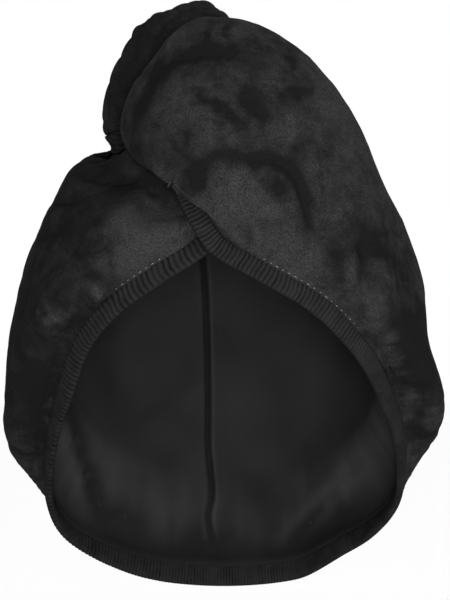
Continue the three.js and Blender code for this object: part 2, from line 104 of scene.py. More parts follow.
# The band's inner edge from the hidden left end round the nape to the right end over the
# brow, as shares of half the breadth, of half the length, and of the way from brow to nape.
edge_rows = [
    (0.06, -0.865, -0.06), (-0.1, -0.885, 0.01), (-0.39, -0.86, 0.098), (-0.63, -0.74, 0.178),
    (-0.81, -0.53, 0.275), (-0.92, -0.3, 0.405), (-1.02, -0.05, 0.53), (-1.07, 0.12, 0.64),
    (-1.08, 0.31, 0.75), (-1.0, 0.5, 0.84), (-0.8, 0.66, 0.912), (-0.49, 0.79, 0.975),
    (-0.03, 0.84, 1),
    (0.46, 0.78, 0.975), (0.69, 0.65, 0.912), (0.91, 0.48, 0.84), (1.05, 0.31, 0.75),
    (1.07, 0.13, 0.65), (1.04, -0.04, 0.555), (0.95, -0.26, 0.44), (0.84, -0.48, 0.34),
    (0.71, -0.66, 0.262), (0.5, -0.83, 0.17), (0.2, -0.935, 0.088), (-0.1, -0.94, 0.005),
    (-0.21, -0.9, -0.075), (-0.33, -0.795, -0.19),
]
nape_row, edge_detail = 12, 150


def through(points, steps):
    """Points of a smooth curve through the given ones, steps to each span."""
    points = np.asarray(points, float)
    ends = np.vstack([2 * points[0] - points[1], points, 2 * points[-1] - points[-2]])
    run = []
    for a, b, c, d in zip(ends[:-3], ends[1:-2], ends[2:-1], ends[3:]):
        ta, tb, tc = (max(np.linalg.norm(q - p), 1e-9) ** 0.5 for p, q in ((a, b), (b, c), (c, d)))
        m = ((b - a) / ta - (c - a) / (ta + tb) + (c - b) / tb) * tb
        n = ((c - b) / tb - (d - b) / (tb + tc) + (d - c) / tc) * tb
        x = np.linspace(0, 1, steps, endpoint=False)[:, None]
        run.append(b + m * x + (3 * (c - b) - 2 * m - n) * x**2 + (2 * (b - c) + m + n) * x**3)
    return np.vstack([*run, points[-1:]])


edge_line = through(
    [(s * head_breadth / 2, d * head_length / 2, -mix(brow_drop, nape_drop, k)) for s, d, k in edge_rows],
    edge_detail,
)
edge_steps = np.linalg.norm(np.diff(edge_line, axis=0), axis=1)
edge_at = np.concatenate([[0], np.cumsum(edge_steps)])
edge_length = edge_at[-1]
edge_at /= edge_length
nape_at = edge_at[nape_row * edge_detail]
edge_along = unit(np.gradient(edge_line, axis=0))


def on_edge(table, u):
    """Rows of a table along the band's inner edge, looked up at shares u of its length."""
    return np.stack([np.interp(u, edge_at, table[:, k]) for k in range(3)], axis=-1)


def band_frame(u):
    """Point on the band's inner edge, direction along it, outward normal and width direction."""
    point, along = on_edge(edge_line, u), unit(on_edge(edge_along, u))
    normal = head_normal(unit(point - head_centre))
    low = smooth(-point[..., 2], 0.45 * nape_drop, 0.76 * nape_drop)
    normal[..., 1] -= band_flare * mix(1, flare_left, low) * normal[..., 0] ** 2
    normal = unit(normal - along * np.sum(normal * along, axis=-1, keepdims=True))
    return point, along, normal, np.cross(along, normal)


def band_shares(start, stop, places):
    """Shares of the band's length at places from 0 to 1, closer together where it bends."""
    share = np.linspace(start, stop, 3000)
    step = np.linalg.norm(np.diff(on_edge(edge_line, share), axis=0), axis=1)
    turn = np.linalg.norm(np.diff(unit(on_edge(edge_along, share)), axis=0), axis=1)
    sums = np.concatenate([[0], np.cumsum(step + 0.16 * head_breadth * turn)])
    return np.interp(places, sums / sums[-1], share)


def drift(points, size, seed):
    """Smooth random field from -1 to 1 over points, with swells about size across."""
    period = 24
    table = np.random.default_rng(seed).uniform(-1, 1, (period,) * 3)
    q = np.asarray(points) / size
    q = np.concatenate([q, np.zeros(q.shape[:-1] + (3 - q.shape[-1],))], axis=-1)
    cell = np.floor(q).astype(int)
    f = q - cell
    f = f * f * (3 - 2 * f)
    total = 0
    for corner in np.ndindex(2, 2, 2):
        x, y, z = np.moveaxis((cell + corner) % period, -1, 0)
        total = total + np.prod(np.where(corner, f, 1 - f), axis=-1) * table[x, y, z]
    return total


camera_distance, camera_height = 2500 * mm, -79.8 * mm


def seen_from_front(points):
    """x and z in millimetres on the plane through the origin, as seen from the camera's place."""
    k = camera_distance / (camera_distance + points[..., 1])
    return points[..., 0] * k / mm, ((points[..., 2] - camera_height) * k + camera_height) / mm


def drawn(points, normals, table, wobble=0):
    """Sum of soft lines drawn on the front view: (value, width, line), widths in millimetres."""
    x, z = seen_from_front(points)
    if wobble:
        x = x + wobble * (drift(points, 13 * mm, 31) + 0.5 * drift(points, 5 * mm, 32))
        z = z + wobble * (drift(points, 13 * mm, 33) + 0.5 * drift(points, 5 * mm, 34))
    facing = smooth(-normals[..., 1], -0.15, 0.2)
    total = np.zeros(x.shape)
    for value, width, line in table:
        line = through(line, 8)
        line = np.column_stack([line, np.linspace(0, 1, len(line))])
        near = (np.abs(x - line[:, 0].mean()) < np.ptp(line[:, 0]) / 2 + 4 * width + 12) & (facing > 0)
        if not near.any():
            continue
        px, pz = x[near], z[near]
        best, place = np.full(px.shape, 1e9), np.zeros(px.shape)
        for (ax, az, at), (bx, bz, bt) in zip(line[:-1], line[1:]):
            long = max((bx - ax) ** 2 + (bz - az) ** 2, 1e-9)
            t = np.clip(((px - ax) * (bx - ax) + (pz - az) * (bz - az)) / long, 0, 1)
            far = np.hypot(px - ax - t * (bx - ax), pz - az - t * (bz - az))
            closer = far < best
            best, place = np.where(closer, far, best), np.where(closer, at + t * (bt - at), place)
        fade = 1 - 0.75 * np.abs(2 * place - 1) ** 2.5
        sharp = 1.25 if value < 0 else 1.8
        total[near] += value * np.exp(-((best / width) ** sharp)) * fade
    return total * facing


def blurred(values, reach, closed=False):
    """Values of a grid, smoothed over reach steps both ways."""
    for axis in (0, 1):
        pad = [(0, 0), (0, 0)]
        pad[axis] = (reach, reach)
        wide = np.pad(values, pad, mode="wrap" if closed and axis == 1 else "edge")
        sums = np.cumsum(wide, axis=axis)
        sums = np.concatenate([np.zeros_like(np.take(sums, [0], axis=axis)), sums], axis=axis)
        n = sums.shape[axis]
        upper = np.take(sums, range(2 * reach + 1, n), axis=axis)
        lower = np.take(sums, range(0, n - 2 * reach - 1), axis=axis)
        values = (upper - lower) / (2 * reach + 1)
    return values


def store_painted_light(piece, values, wall=True):
    """Stores how light a piece's cloth is painted: 0 where it is crushed or sunk in painted shade, 1 where
    it stands up in painted light.
    """
    values = np.clip(values, 0, 1)
    both = np.concatenate([values.ravel(), values[::2, ::2].ravel()]) if wall else values.ravel()
    layer = piece.data.attributes.new("tone_and_painted_light", "FLOAT", "POINT")
    full = np.full(len(piece.data.vertices), float(values.mean()), np.float32)
    full[: len(both)] = both[: len(full)]
    layer.data.foreach_set("value", full)


def grid_normals(grid, closed=False):
    """Unit normals of a grid of points, turned away from the head's centre."""
    if closed:
        wide = np.concatenate([grid[:, -1:], grid, grid[:, :1]], axis=1)
        over = wide[:, 2:] - wide[:, :-2]
    else:
        over = np.gradient(grid, axis=1)
    normals = unit(np.cross(np.gradient(grid, axis=0), over) + 1e-15)
    m, n = grid.shape[0] // 2, grid.shape[1] // 2
    return normals * np.sign(np.sum(normals[m, n] * (grid[m, n] - head_centre)))


def mesh_piece(name, points, faces):
    """Mesh object from points and faces, turned so that its faces point out, and smooth."""
    mesh = bpy.data.meshes.new(name)
    mesh.from_pydata([tuple(p) for p in np.asarray(points).tolist()], [], faces)
    corners = np.array([(f[0], f[k], f[k + 1]) for f in faces for k in range(1, len(f) - 1)])
    a, b, c = (np.asarray(points)[corners[:, k]] - head_centre for k in range(3))
    if np.sum(a * np.cross(b, c)) < 0:
        mesh.flip_normals()
    mesh.validate()
    mesh.update()
    mesh.shade_smooth()
    piece = bpy.data.objects.new(name, mesh)
    bpy.context.collection.objects.link(piece)
    return piece


def wall_piece(name, outer, thickness, closed=False):
    """Closed wall of cloth: a fine outer grid, and an inner one half as fine, joined at the edges."""
    rows, columns = outer.shape[:2]
    inner = (outer - grid_normals(outer, closed) * thickness)[::2, ::2]
    m, n = inner.shape[:2]
    start = rows * columns
    faces = []
    o = np.arange(start).reshape(rows, columns)
    q = start + np.arange(m * n).reshape(m, n)
    if closed:
        o, q = np.hstack([o, o[:, :1]]), np.hstack([q, q[:, :1]])
    faces += np.stack([o[:-1, :-1], o[:-1, 1:], o[1:, 1:], o[1:, :-1]], axis=-1).reshape(-1, 4).tolist()
    faces += np.stack([q[:-1, :-1], q[1:, :-1], q[1:, 1:], q[:-1, 1:]], axis=-1).reshape(-1, 4).tolist()
    rims = [(o[0, :], q[0, :], 1), (o[-1, :], q[-1, :], -1)]
    if not closed:
        rims += [(o[:, 0], q[:, 0], -1), (o[:, -1], q[:, -1], 1)]
    for fine, coarse, turn in rims:
        for k in range(len(coarse) - 1):
            face = [fine[2 * k], coarse[k], coarse[k + 1], fine[2 * k + 2], fine[2 * k + 1]][::turn]
            faces.append([int(v) for v in face])
    return mesh_piece(name, np.vstack([outer.reshape(-1, 3), inner.reshape(-1, 3)]), faces)


# Folds of the lining: height and half width in millimetres, and a line of points (x, z) on the
# front view. Its painted strokes of shade and light are the same, with a share of light in place
# of the height.
lining_creases = [
    (-3, 5, [(-82, -131), (-79, -142), (-73, -165), (-66, -185), (-60, -200)]),
    (2, 6, [(-85, -142), (-79, -165), (-73, -185), (-65, -201)]),
    (-2, 4, [(-58, -191), (-49, -195), (-45, -204)]),
    (2, 5, [(79, -148), (63, -168), (33, -198), (25, -211)]),
    (2, 5, [(75, -165), (58, -181), (43, -206)]),
    (-2, 4, [(77, -156), (61, -175), (38, -202)]),
    (-3, 5, [(-16, -205), (-15, -210)]),
    (-3, 5, [(67, -192), (69, -197)]),
    (-2, 4, [(-3, -201), (1, -208), (4, -215)]),
]
painted_lining_strokes = [
    (-0.5, 3.5, [(-84, -122), (-79, -142), (-73, -165), (-66, -185), (-59, -202)]),
    (-0.3, 4, [(-60, -189), (-50, -195), (-44, -206)]), (-0.25, 5, [(80, -100), (86, -120), (92, -140)]),
    (-0.3, 4, [(80, -142), (62, -173), (34, -202)]), (-0.2, 5, [(70, -140), (52, -170), (30, -196)]),
    (0.25, 3, [(75, -160), (56, -182), (40, -206)]), (-0.35, 4, [(-16, -202), (-15, -212)]),
    (-0.4, 4, [(66, -190), (70, -199)]), (-0.3, 5, [(-3, -198), (3, -210), (8, -216)]),
    (-0.2, 10, [(14, -166), (20, -190)]), (-0.2, 12, [(-42, -134), (-36, -142)]),
    (-0.2, 8, [(-28, -74), (-26, -80)]), (-0.2, 10, [(50, -66), (62, -74)]),
    (0.2, 14, [(40, -100), (56, -130)]), (0.15, 12, [(-50, -106), (-44, -120)]),
]
seam_line = [
    (-10, -53), (-8, -82), (-7, -124), (-7, -142), (-7, -155), (-5, -181), (-7, -191), (-3, -206),
    (0, -214),
]


def lining_grid():
    """The lining's visible inner side from the band to the crown, with most columns at the seam, and its
    painted light and shade.
    """
    places = np.linspace(0, 1, 2000)
    at_seam = np.interp(nape_at, band_shares(lining_from, lining_to, places), places)
    crowd = np.cumsum(1 + seam_crowd * bump(places - at_seam, crowd_width))
    places = np.interp(np.linspace(crowd[0], crowd[-1], 400), crowd, places)
    shares, rows = band_shares(lining_from, lining_to, places), 121
    point, along, normal, across = band_frame(shares)
    near_end = np.maximum(1 - smooth(shares, 0, 0.06), smooth(shares, 0.86, lining_to))[:, None]
    start = point + across * (band_width + seam_gap + end_rise * near_end) + normal * 0.2 * mm - head_centre
    reach = np.linalg.norm(start, axis=-1)
    begin = unit(start)
    reach = np.where(near_end[:, 0] > 0.2, head_radius(begin), reach)
    span = np.arccos(begin @ up)[:, None]
    t = np.linspace(0, near_crown, rows)[:, None, None]
    d = unit(begin * np.sin((1 - t) * span) + up * np.sin(t * span))
    r = mix(reach, head_radius(d), smooth(t[..., 0], 0, 0.1))
    grid = head_centre + d * r[..., None]
    sewn = point + across * (band_width - 2 * mm) + normal * 0.5 * mm
    grid = np.concatenate([[sewn, mix(sewn, grid[0], 0.5)], grid])
    t = np.concatenate([[t[0] - 0.02, t[0] - 0.01], t])
    inward = -grid_normals(grid, True)
    height = drawn(grid, inward, lining_creases) * mm
    x, z = seen_from_front(grid)
    line = through(seam_line, 8)
    off = x - np.interp(-z, -line[:, 1], line[:, 0])
    low = smooth(z, -222, -205) * smooth(-z, 20, 50) * (grid[..., 1] > 0)
    ridge = 1.2 * bump(off - 0.4, 1.4) - 1.5 * bump(off + 2.2, 1.6) + 0.6 * bump(off - 3.5, 3)
    soft = 0.8 * drift(grid, 34 * mm, 5) + 0.35 * drift(grid, 15 * mm, 6)
    place = np.stack([shares * edge_length + 0 * t[..., 0], 0.08 * t[..., 0] + 0 * shares], axis=-1)
    near_band = bump(t[..., 0], 0.07) * (1.1 * drift(place, 7 * mm, 7) + 0.6 * drift(place, 3.5 * mm, 8))
    height = height + slack + (ridge * low + soft + near_band) * mm
    height = np.maximum(height, -0.2 * mm) * smooth(t[..., 0], -0.004, 0.07)
    # Painted shade in the hollows and painted light on the crests, painted darker towards the bottom
    # against the room light there, strokes of painted shade and light, and a painted shadow beside the seam
    # with a painted highlight on its ridge.
    light = 0.45 + 0.35 * (height - blurred(height, 9, True)) / mm
    light = light - 0.3 * smooth(-z, 140, 200) + drawn(grid, inward, painted_lining_strokes)
    light = light + (0.12 * bump(off - 1.2, 1.6) - 0.4 * bump(off + 2.2, 1.5)) * low
    return grid + inward * height[..., None], light


def sheet_area(grid, closed=False):
    """Area in square metres of a grid of points."""
    if closed:
        grid = np.concatenate([grid, grid[:, :1]], axis=1)
    a, b, c, d = grid[:-1, :-1], grid[:-1, 1:], grid[1:, 1:], grid[1:, :-1]
    return float((np.linalg.norm(np.cross(c - a, d - b), axis=-1) / 2).sum())


lining_sheet, lining_painted_light = lining_grid()
lining = wall_piece("lining_cloth", lining_sheet, -lining_wall, closed=True)
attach(lining, "root")
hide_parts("lining")
lining_area = sheet_area(lining_sheet, True)
store_painted_light(lining, lining_painted_light)


class Wire:
    """A socket of a material. Operators on it add Math nodes, and node() adds any other."""

    def __init__(self, tree, socket=None):
        self.tree, self.socket = tree, socket

    def node(self, kind, settings, inputs, output=0):
        new = self.tree.nodes.new(kind)
        for key, value in settings.items():
            setattr(new, key, value)
        for key, value in inputs.items():
            if isinstance(value, Wire):
                self.tree.links.new(value.socket, new.inputs[key])
            else:
                new.inputs[key].default_value = value
        return Wire(self.tree, new.outputs[output])

    def maths(self, operation, a, b):
        return self.node("ShaderNodeMath", {"operation": operation}, {0: a, 1: b})

    def __add__(self, other):
        return self.maths("ADD", self, other)

    def __radd__(self, other):
        return self.maths("ADD", other, self)

    def __sub__(self, other):
        return self.maths("SUBTRACT", self, other)

    def __rsub__(self, other):
        return self.maths("SUBTRACT", other, self)

    def __mul__(self, other):
        return self.maths("MULTIPLY", self, other)

    def __rmul__(self, other):
        return self.maths("MULTIPLY", other, self)

    def noise(self, scale, detail=2.0, distortion=0.0):
        wanted = {"Vector": self, "Scale": scale, "Detail": detail, "Distortion": distortion}
        return self.node("ShaderNodeTexNoise", {}, wanted, "Fac")

    def between(self, low, high):
        wanted = {"Value": self, "From Min": low, "From Max": high}
        return self.node("ShaderNodeMapRange", {"clamp": True}, wanted)

    # The stored tone of the cloth, with its painted light and shade.
    def tone_and_painted_light(self):
        return self.node("ShaderNodeAttribute", {"attribute_name": "tone_and_painted_light"}, {}, "Fac")

    def relief(self, strength, distance):
        wanted = {"Height": self, "Strength": strength, "Distance": distance}
        return self.node("ShaderNodeBump", {}, wanted)

    def tint(self, dark, light):
        wanted = {"Factor": self, 6: (*dark, 1), 7: (*light, 1)}
        return self.node("ShaderNodeMix", {"data_type": "RGBA"}, wanted, 2)


def finish(name):
    """A new material: its object-space wire, and a way to set its surface."""
    material = bpy.data.materials.new(name)
    material.use_nodes = True
    start = Wire(material.node_tree)
    place = start.node("ShaderNodeTexCoord", {}, {}, "Object")
    shader = material.node_tree.nodes["Principled BSDF"]

    def surface(**sockets):
        for key, value in sockets.items():
            socket = shader.inputs[key.replace("_", " ")]
            if isinstance(value, Wire):
                material.node_tree.links.new(value.socket, socket)
            else:
                socket.default_value = value
        return material

    return place, surface


# Black knit with a faint satin gloss: fine wales, soft clouds of shade and a matt ground.
place, surface = finish("lining_knit")
clouds = place.noise(28, 3.0, 0.4).between(0.3, 0.7)
wave = {"Vector": place, "Scale": 420, "Distortion": 1.2}
wales = place.node("ShaderNodeTexWave", {"bands_direction": "X"}, wave)
yarn = place.noise(1700, 2.0)
# Painted light and shade from the stored attribute set the knit's colour, with random clouds and yarn.
light = (clouds * 0.2 + yarn * 0.25 + place.tone_and_painted_light() * 0.9 - 0.2).between(0, 1)
knit = surface(
    Base_Color=light.tint((0.006, 0.006, 0.0062), (0.018, 0.018, 0.0186)),
    Roughness=clouds * 0.12 + 0.55,
    IOR=1.02,
    Normal=(wales * 0.4 + yarn * 0.6).relief(0.18, 0.4 * mm),
)
lining.data.materials.append(knit)

# Elastic band
# A narrow casing of the same towelling with a flat elastic drawn through it. It is turned over
# and stitched beside the cloth, and the elastic gathers it into fine ribs.

band_thickness, end_sink = 4.6 * mm, 2.2 * mm
rib_length = [(0, 3.2), (0.3, 3.2), (0.4, 2.0), (0.46, 1.6), (0.56, 1.6), (0.66, 2.1), (0.8, 2.4), (1, 2.4)]
# Painted light and shade along the casing: lighter towards both ends over the brow, darkest round the nape
# inside the hood.
rib_light = [(0, 0.95), (0.12, 0.8), (0.3, 0.6), (0.62, 0.6), (0.75, 0.75), (0.86, 1), (1, 0.95)]


def looked_up(u, table):
    """Value at u from a list of (share of the band's length, value)."""
    return np.interp(u, [share for share, _ in table], [value for _, value in table])


def band_grid():
    """Sections of the casing along the band, six to a rib, and how light each point is painted, with
    painted shade in the grooves and along the stitching.
    """
    around, per_rib = 22, 6
    fine = np.linspace(0, 1, 4000)
    ribs = edge_length / (looked_up(fine, rib_length) * mm)
    count = np.concatenate([[0], np.cumsum(ribs[1:] * np.diff(fine))])
    phase = np.arange(int(count[-1]) * per_rib + 1) / per_rib
    u = np.interp(phase, count, fine)

    def varied(turns, seed):
        return drift(np.stack([turns, 0 * phase], axis=-1), 1, seed)

    point, along, normal, across = band_frame(u)
    point = point - normal * (end_sink * smooth(u, 0.965, 0.99))[:, None]
    rib = np.abs(np.cos(np.pi * (phase + 0.16 * varied(phase / 5, 11))))[:, None] ** 0.45
    size = 0.75 + 0.35 * varied(np.round(phase) * 1.7, 12)[:, None]
    pitch = looked_up(u, rib_length)[:, None]
    a = 2 * np.pi * np.arange(around) / around
    x = 0.5 + 0.47 * np.sign(np.cos(a)) * np.abs(np.cos(a)) ** 0.62
    z = 0.5 + 0.46 * np.sign(np.sin(a)) * np.abs(np.sin(a)) ** 0.72
    front = np.clip(np.sin(a), 0, 1) ** 0.5
    stitched = bump((x - 0.87) * 12.5, 0.9) * front
    dip = (1 - rib) * size * (0.5 + 0.5 * pitch) * (front + 0.25) + stitched * 0.45
    lean = 0.16 * pitch * np.sin(2.2 * x * np.pi + 3 * varied(phase / 9, 13)[:, None])
    wave = 0.25 * varied(phase / 7, 14)[:, None]
    grid = point[:, None] + across[:, None] * (x * band_width)[None, :, None]
    grid = grid + normal[:, None] * (z * band_thickness + (wave - dip) * mm)[..., None]
    # Painted shade in the grooves between the ribs and along the stitching, and painted light along the
    # band from the table above.
    light = (1.15 - 1.5 * (1 - rib) * size - 0.3 * stitched) * looked_up(u, rib_light)[:, None]
    return grid + along[:, None] * (lean * mm * front)[..., None], light


def tube_piece(name, grid):
    """Closed solid from a grid whose rows are closed sections."""
    rows, around = grid.shape[:2]
    o = np.arange(rows * around).reshape(rows, around)
    o = np.hstack([o, o[:, :1]])
    faces = np.stack([o[:-1, :-1], o[:-1, 1:], o[1:, 1:], o[1:, :-1]], axis=-1).reshape(-1, 4).tolist()
    faces += [o[0, :-1][::-1].tolist(), o[-1, :-1].tolist()]
    return mesh_piece(name, grid.reshape(-1, 3), faces)


band_points, band_painted_light = band_grid()
band = tube_piece("elastic_casing", band_points)
store_painted_light(band, band_painted_light, wall=False)
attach(band, "root")
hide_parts("elastic_band")

place, surface = finish("gathered_casing")
fuzz = place.noise(1500, 2.0)
worn = place.noise(140, 3.0, 0.5).between(0.3, 0.7)
# Painted shade and light from the stored attribute set the casing's colour, with random wear and fuzz.
light = (place.tone_and_painted_light() * 0.75 + worn * 0.3 + fuzz * 0.3 - 0.2).between(0, 1)
casing_cloth = surface(
    Base_Color=light.tint((0.0012, 0.0012, 0.0013), (0.0125, 0.0125, 0.0131)),
    Roughness=0.7,
    IOR=1.05,
    Normal=fuzz.relief(0.3, 0.4 * mm),
)
band.data.materials.append(casing_cloth)

# Light thread shows in short stitches along the casing's outer edge, over the brow.
thread_runs = [(0.052, 0.115), (0.8, 0.915)]
stitch_pitch, stitch_length, thread_radius, stitch_at = 3.6 * mm, 1.2 * mm, 0.17 * mm, 0.885


def stitch_mesh():
    """One short spindle of thread for each stitch."""
    points, faces = [], []
    for start, stop in thread_runs:
        count = int((stop - start) * edge_length / stitch_pitch)
        for k in range(count):
            u = start + (k + 0.5) * (stop - start) / count
            length = (stitch_length + 0.5 * mm * math.sin(k * 2.4)) / edge_length
            base = len(points)
            for step in (-1, -0.6, 0, 0.6, 1):
                point, along, normal, across = band_frame(np.array(u + 0.5 * step * length))
                slim = thread_radius * (1 - 0.75 * abs(step) ** 3)
                middle = point + across * stitch_at * band_width
                middle = middle + normal * (band_thickness * 0.9 + 0.12 * mm * (1 - step * step))
                for c, s in ((1, 0), (0, 1), (-1, 0), (0, -1)):
                    points.append(middle + across * slim * c + normal * slim * s * 0.8)
            for i in range(4):
                for j in range(4):
                    a, b = base + 4 * i + j, base + 4 * i + (j + 1) % 4
                    faces.append([a, b, b + 4, a + 4])
            faces += [[base + 3, base + 2, base + 1, base], [base + 16, base + 17, base + 18, base + 19]]
    return np.array(points), faces


stitches = mesh_piece("casing_stitches", *stitch_mesh())
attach(stitches, "root")
place, surface = finish("light_thread")
twist = place.noise(3000, 1.0)
thread = surface(
    Base_Color=twist.tint((0.09, 0.09, 0.09), (0.2, 0.2, 0.2)),
    Roughness=0.7,
    Normal=twist.relief(0.3, 0.2 * mm),
)
stitches.data.materials.append(thread)

# Left panel
# Half of the hood, cut from black towelling with a short dense pile. It is gathered onto the
# band, puffs out over the lining, and runs under the right panel and up to the twist.

cloth_wall, lining_gap, overhang = 2.4 * mm, 1.1 * mm, 11 * mm
puff, billow = 74 * mm, 20 * mm
throat_turn, throat_rise, tail_diameter, tail_gap = 254, 66, 45 * mm, 1.8 * mm
lap_shelf, lap_valley, lap_sweep, under_sweep, free_edge_lean = 9 * mm, 30 * mm, 16, 44, 128

# How far the hood stands off the lining, as shares of the puff. Each row is an eighth of a turn on
# from the one before, from the brow towards +X, and goes from 60 degrees below level up to the top.
turn_step, rise_step, lowest_rise = 45, 15, -60
hood_form = np.array([
    (0.1, 0.14, 0.18, 0.18, 0.18, 0.17, 0.2, 0.56, 0.82, 0.92, 0.56),
    (0.1, 0.16, 0.24, 0.26, 0.24, 0.24, 0.28, 0.44, 0.68, 0.78, 0.56),
    (0.08, 0.43, 0.46, 0.43, 0.29, 0.3, 0.3, 0.31, 0.43, 0.5, 0.56),
    (0.07, 0.18, 0.27, 0.28, 0.28, 0.29, 0.3, 0.33, 0.4, 0.4, 0.56),
    (0.07, 0.13, 0.19, 0.22, 0.24, 0.26, 0.28, 0.3, 0.32, 0.38, 0.56),
    (0.07, 0.19, 0.3, 0.31, 0.29, 0.29, 0.29, 0.29, 0.3, 0.46, 0.56),
    (0.08, 0.51, 0.58, 0.44, 0.38, 0.34, 0.34, 0.33, 0.36, 0.54, 0.56),
    (0.1, 0.18, 0.3, 0.3, 0.29, 0.27, 0.28, 0.4, 0.62, 0.85, 0.56),
])


def direction(turn, rise):
    """Unit direction from a turn round the head, 0 at the brow, and a rise, both in degrees."""
    a, e = np.radians(turn), np.radians(rise)
    return np.stack([np.sin(a) * np.cos(e), -np.cos(a) * np.cos(e), np.sin(e) + 0 * a], axis=-1)


def spline(a, b, c, d, x):
    """Smooth value between b and c at x from 0 to 1, with a and d as their neighbours."""
    return b + 0.5 * x * (c - a + x * (2 * a - 5 * b + 4 * c - d + x * (3 * (b - c) + d - a)))


def puff_share(d):
    """Share of the puff in direction d, from the form's rows."""
    turns, rises = hood_form.shape
    column = (np.degrees(np.arctan2(d[..., 0], -d[..., 1])) % 360) / turn_step
    rise = np.degrees(np.arcsin(np.clip(d[..., 2], -1, 1)))
    row = np.clip((rise - lowest_rise) / rise_step, 0, rises - 1.0001)
    c, r = np.floor(column).astype(int), np.floor(row).astype(int)
    across = []
    for k in (-1, 0, 1, 2):
        line = np.clip(r + k, 0, rises - 1)
        across.append(spline(*[hood_form[(c + j) % turns, line] for j in (-1, 0, 1, 2)], column - c))
    return np.maximum(spline(*across, row - r), 0.05)


def snug_radius(d):
    """Reach of the panels' outer side where they lie close on the lining."""
    return head_radius(d) + lining_wall + lining_gap + cloth_wall


throat = direction(throat_turn, throat_rise)
throat_radius = float(snug_radius(throat) + 0.25 * puff)
ring_angle = math.asin((0.47 * tail_diameter + tail_gap + cloth_wall) / throat_radius)


def angle_to(d, other):
    """Angle between directions d and one other, in radians."""
    return np.arccos(np.clip(d @ other, -1, 1))


def hood_radius(d):
    """Reach of the panels' outer side where they puff out, drawn in at the twist."""
    full = snug_radius(d) + puff * (puff_share(d) - 0.05)
    return mix(throat_radius, full, smooth(angle_to(d, throat), ring_angle, 2.4 * ring_angle))


nape = unit(on_edge(edge_line, nape_at) - head_centre)
bearing_zero = unit(nape - throat * (nape @ throat))
bearing_right = np.cross(bearing_zero, throat)


def around_throat(bearing, angle):
    """Direction at a bearing round the twist and an angle away from it."""
    bearing, angle = np.asarray(bearing)[..., None], np.asarray(angle)[..., None]
    sideways = bearing_zero * np.cos(bearing) + bearing_right * np.sin(bearing)
    return throat * np.cos(angle) + sideways * np.sin(angle)


def bearing_of(d):
    return np.arctan2(d @ bearing_right, d @ bearing_zero) % (2 * math.pi)


def panel_start(u, lift=lining_wall + lining_gap + cloth_wall):
    """Where a panel's outer side begins beside the band; near the band's end it laps over it."""
    point, _, normal, across = band_frame(u)
    high = band_thickness * smooth(u, 0.9, 0.945)
    beside = band_width + seam_gap - overhang * smooth(u, 0.945, 1)
    return point + across * np.asarray(beside)[..., None] + normal * np.asarray(lift + high)[..., None]


def cloth_lines(u, bearing, angle):
    """Directions along lines of cloth from the band (t = 0) to the twist (t = 1), and their lengths."""
    start = panel_start(u) - head_centre
    reach = np.linalg.norm(start, axis=-1)
    begin = unit(start)
    end = around_throat(bearing, ring_angle)
    span = np.arccos(np.clip(np.sum(begin * end, axis=-1), -1, 1))
    _, along, _, across = band_frame(u)
    away = across * np.cos(angle)[..., None] + along * np.sin(angle)[..., None]
    leave = unit(begin + away * (0.3 * span)[..., None])
    arrive = around_throat(bearing, ring_angle + 0.3 * span)

    def at(t):
        t = np.asarray(t)[:, None, None]
        k = 1 - t
        return unit(begin * k**3 + leave * 3 * k * k * t + arrive * 3 * k * t * t + end * t**3)

    return at, reach, span * throat_radius


right_end = unit(panel_start(np.array(1.0)) - head_centre)
cross_bearing = float(bearing_of(right_end)) + math.radians(lap_sweep)
lap_at, _, _ = cloth_lines(np.array([1.0]), np.array([cross_bearing]), np.radians([free_edge_lean]))
lap_points = lap_at(np.linspace(0, 1, 401))[:, 0]
lap_side = unit(np.cross(lap_points, np.gradient(lap_points, axis=0)))


def lap_distance(d):
    """Signed distance from the right panel's free edge, above 0 on the bare left panel."""
    flat = d.reshape(-1, 3)
    best = np.concatenate([np.argmax(part @ lap_points.T, axis=1) for part in np.array_split(flat, 40)])
    off = flat - lap_points[best]
    side = np.sum(off * lap_side[best], axis=1)
    at_end = (best == 0) | (best == len(lap_points) - 1)
    far = np.where(at_end, np.linalg.norm(off, axis=1), np.abs(side))
    return (np.sign(side) * far * throat_radius).reshape(d.shape[:-1])


def lap_floor(d):
    """Reach of the left panel's outer side under the lap."""
    rise = smooth(angle_to(d, right_end) * throat_radius, 0.5 * band_width, 5 * band_width)
    return mix(snug_radius(d), hood_radius(d), 0.45 * rise)


def panel_grid(shares, bearings, angles, radius_at, rows):
    """Grid of a panel's outer side with its turned edge first, and the distance of each point from
    the band and from the twist."""
    at, reach, length = cloth_lines(shares, bearings, angles)
    t = np.linspace(0, 1, rows) ** 1.15
    d = at(t)
    rise = np.clip(t[:, None] * length / billow, 0, 1)
    r = mix(reach, radius_at(d), 1 - (1 - rise) ** 2)
    point, _, normal, across = band_frame(shares)
    sewn = point + across * (band_width - 2.5 * mm) + normal * 3.9 * mm
    turned = mix(sewn, head_centre + d[0] * r[0][..., None], 0.5)
    grid = np.concatenate([[sewn, turned], head_centre + d * r[..., None]])
    down = np.vstack([np.full((2, len(shares)), -3 * mm), t[:, None] * length])
    return grid, down, length - np.maximum(down, 0)


def even(places, grid, count):
    """Places picked so that count columns of the grid lie about evenly."""
    step = np.linalg.norm(np.diff(grid[1:], axis=1), axis=-1).max(axis=0)
    sums = np.concatenate([[0], np.cumsum(step + 1e-6)])
    return np.interp(np.linspace(0, 1, count), sums / sums[-1], places)


def ridged(x):
    """Rounded crests with narrow dips between them, from -1 to 1, once for each unit of x."""
    return 2 * np.abs(np.cos(np.pi * x)) ** 0.7 - 1


